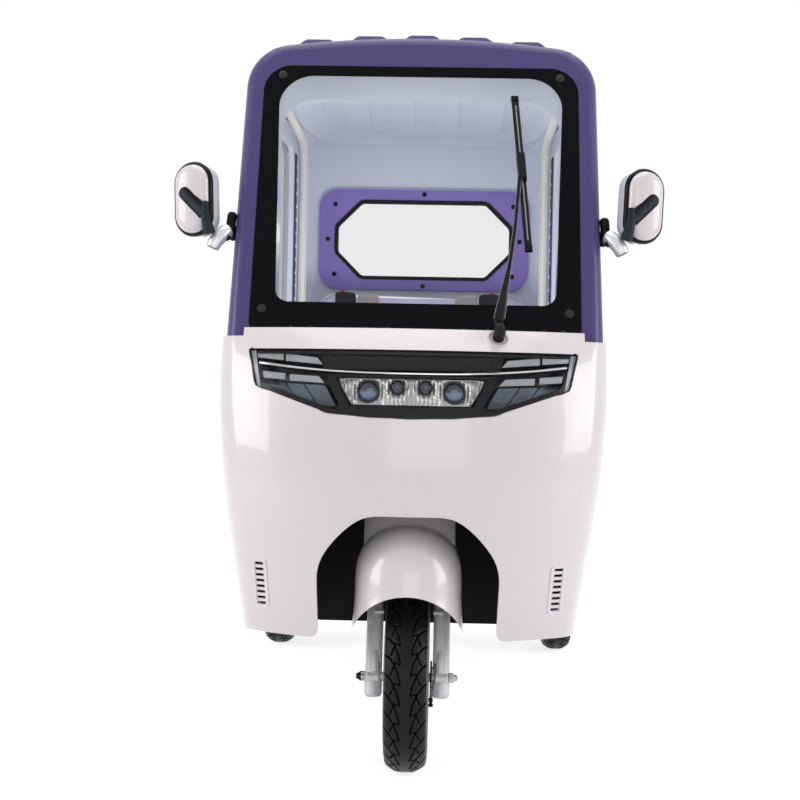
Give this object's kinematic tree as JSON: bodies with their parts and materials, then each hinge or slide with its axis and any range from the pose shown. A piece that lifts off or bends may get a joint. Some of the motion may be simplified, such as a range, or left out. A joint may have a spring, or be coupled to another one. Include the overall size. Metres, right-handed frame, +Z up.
{
  "type": "electric cargo tricycle",
  "caption": "Three-wheeled electric load carrier with a closed one-row cab, a steered front wheel, a driven rear axle and an open bed with a drop tailgate.",
  "frame": {"origin": "middle of the bounding box's base, on the floor", "axes": "-Y is the way the tricycle faces, +Y towards the tailgate, +X towards the driver's left, +Z up"},
  "size_m": [1.202, 2.615, 1.8265],
  "materials": {
    "white_paint": "gloss",
    "purple_paint": "gloss",
    "bed_paint": "gloss",
    "black_gloss": "gloss",
    "clear_glass": "gloss",
    "smoked_lens": "gloss",
    "chrome": "polished",
    "silver_metal": "satin",
    "black_steel": "satin",
    "spring_steel": "satin",
    "black_plastic": "matte",
    "grey_plastic": "matte",
    "floor_mat": "matte",
    "black_rubber": "matte",
    "tyre_rubber": "matte",
    "seat_vinyl": "satin",
    "red_lens": "gloss",
    "lining": "matte"
  },
  "bodies": {
    "tricycle": {"front_cowl": "white_paint", "scuttle_panel": "white_paint", "front_hoop": "purple_paint", "windscreen_border": "black_gloss", "windscreen_glass": "clear_glass", "roof_panel": "purple_paint", "headliner": "lining", "cab_back": "purple_paint", "rear_body": "white_paint", "rear_window_frame": "purple_paint", "rear_window_glass": "clear_glass", "floor_pan": "floor_mat", "arch_liner": "black_plastic", "lamp_lens": "smoked_lens", "lamp_housing": "black_gloss", "lamp_projectors": "chrome", "lamp_strip": "chrome", "dashboard": "grey_plastic", "seat_base": "black_plastic", "seat_cushion": "seat_vinyl", "seat_backrest": "seat_vinyl", "chassis_frame": "black_steel", "battery_pack": "black_steel", "rear_axle": "black_steel", "leaf_springs": "spring_steel", "cargo_bed": "bed_paint", "tailgate_hinges": "black_steel", "rear_mudguards": "black_plastic", "rear_bumper": "black_steel", "tail_lamps": "red_lens", "door_hinges": "black_steel", "mirror_arms": "silver_metal", "mirror_heads": "white_paint", "wiper": "black_plastic"},
    "steering": {"front_fork": "silver_metal", "front_mudguard": "white_paint", "handlebar": "black_steel", "grips": "black_rubber", "switch_pods": "grey_plastic", "instrument_pod": "black_plastic"},
    "front_wheel": {"front_tyre": "tyre_rubber", "front_rim": "silver_metal"},
    "rear_left_wheel": {"rear_left_tyre": "tyre_rubber", "rear_left_rim": "silver_metal"},
    "rear_right_wheel": {"rear_right_tyre": "tyre_rubber", "rear_right_rim": "silver_metal"},
    "left_door": {"left_door_panel": "white_paint", "left_door_frame": "purple_paint", "left_door_glass": "clear_glass"},
    "right_door": {"right_door_panel": "white_paint", "right_door_frame": "purple_paint", "right_door_glass": "clear_glass"},
    "tailgate": {"tailgate": "bed_paint"}
  },
  "joints": [
    {"name": "steering_turn", "type": "hinge", "parent": "tricycle", "child": "steering", "pos_m": [0, -1.06901, 0.20645], "axis": [0, 0.342, 0.9397], "range_deg": [-35, 35]},
    {"name": "front_wheel_spin", "type": "hinge", "parent": "steering", "child": "front_wheel", "pos_m": [0, -1.0925, 0.215], "axis": [1, 0, 0], "continuous": true},
    {"name": "rear_left_wheel_spin", "type": "hinge", "parent": "tricycle", "child": "rear_left_wheel", "pos_m": [0.48, 0.6575, 0.215], "axis": [1, 0, 0], "continuous": true},
    {"name": "rear_right_wheel_spin", "type": "hinge", "parent": "tricycle", "child": "rear_right_wheel", "pos_m": [-0.48, 0.6575, 0.215], "axis": [1, 0, 0], "continuous": true},
    {"name": "left_door_swing", "type": "hinge", "parent": "tricycle", "child": "left_door", "pos_m": [0.46, -0.738, 0.786], "axis": [0, 0, -1], "range_deg": [0, 70]},
    {"name": "right_door_swing", "type": "hinge", "parent": "tricycle", "child": "right_door", "pos_m": [-0.46, -0.738, 0.786], "axis": [0, 0, 1], "range_deg": [0, 70]},
    {"name": "tailgate_drop", "type": "hinge", "parent": "tricycle", "child": "tailgate", "pos_m": [0, 1.2645, 0.565], "axis": [-1, 0, 0], "range_deg": [0, 90]}
  ]
}
